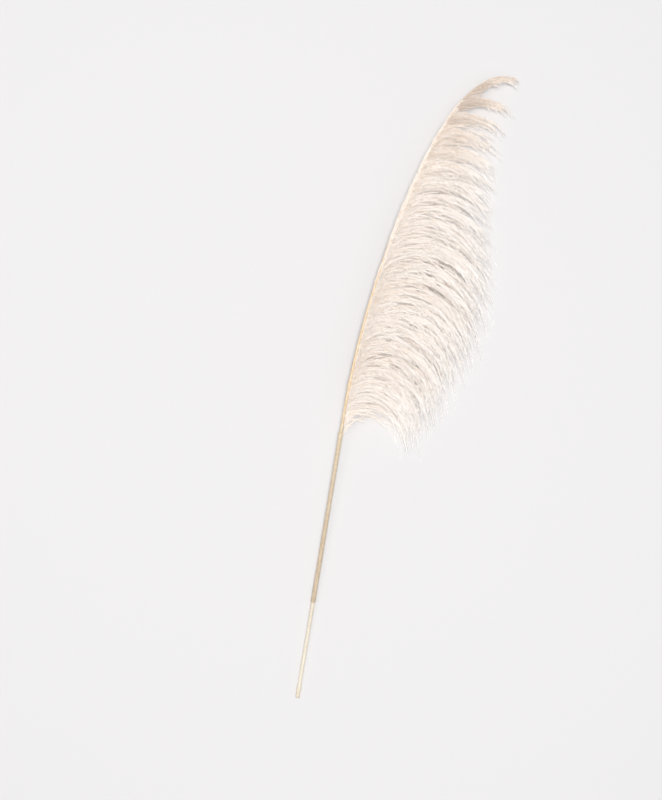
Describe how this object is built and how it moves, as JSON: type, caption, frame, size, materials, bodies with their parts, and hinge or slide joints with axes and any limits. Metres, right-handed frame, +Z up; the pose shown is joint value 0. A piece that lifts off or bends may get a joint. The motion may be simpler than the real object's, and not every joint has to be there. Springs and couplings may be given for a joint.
{
  "type": "pampas grass stem",
  "caption": "Cut, dried pampas grass stem lying flat: a slim straight cane in a leaf sheath, with a long nodding plume of soft feathery branches that arch over to one side.",
  "frame": {"origin": "on the surface that the stem lies on, under the middle of its bounding box", "axes": "+Z up from the surface; +Y along the straight culm, from its cut end towards the plume; +X the side that the plume nods and droops to"},
  "size_m": [0.2214, 1.0736, 0.0773],
  "materials": {
    "cane": "satin",
    "dried_leaf": "matte",
    "plume_fluff": "matte"
  },
  "bodies": {
    "root": {"culm": "cane", "leaf_sheath": "dried_leaf", "plume_branch_01": "plume_fluff", "plume_branch_02": "plume_fluff", "plume_branch_03": "plume_fluff", "plume_branch_04": "plume_fluff", "plume_branch_05": "plume_fluff", "plume_branch_06": "plume_fluff", "plume_branch_07": "plume_fluff", "plume_branch_08": "plume_fluff", "plume_branch_09": "plume_fluff", "plume_branch_10": "plume_fluff", "plume_branch_11": "plume_fluff", "plume_branch_12": "plume_fluff", "plume_branch_13": "plume_fluff", "plume_branch_14": "plume_fluff", "plume_branch_15": "plume_fluff", "plume_branch_16": "plume_fluff", "plume_branch_17": "plume_fluff", "plume_branch_18": "plume_fluff", "plume_branch_19": "plume_fluff", "plume_branch_20": "plume_fluff", "plume_branch_21": "plume_fluff", "plume_branch_22": "plume_fluff", "plume_branch_23": "plume_fluff", "plume_branch_24": "plume_fluff", "plume_branch_25": "plume_fluff", "plume_branch_26": "plume_fluff", "plume_branch_27": "plume_fluff", "plume_branch_28": "plume_fluff", "plume_branch_29": "plume_fluff", "plume_branch_30": "plume_fluff", "plume_branch_31": "plume_fluff", "plume_branch_32": "plume_fluff", "plume_branch_33": "plume_fluff", "plume_branch_34": "plume_fluff", "plume_branch_35": "plume_fluff", "plume_branch_36": "plume_fluff", "plume_branch_37": "plume_fluff", "plume_branch_38": "plume_fluff", "plume_branch_39": "plume_fluff", "plume_branch_40": "plume_fluff", "plume_branch_41": "plume_fluff", "plume_branch_42": "plume_fluff", "plume_branch_43": "plume_fluff", "plume_branch_44": "plume_fluff", "plume_branch_45": "plume_fluff", "plume_branch_46": "plume_fluff", "plume_branch_47": "plume_fluff", "plume_branch_48": "plume_fluff", "plume_branch_49": "plume_fluff", "plume_branch_50": "plume_fluff", "plume_branch_51": "plume_fluff", "plume_branch_52": "plume_fluff", "plume_branch_53": "plume_fluff", "plume_branch_54": "plume_fluff"}
  },
  "joints": []
}
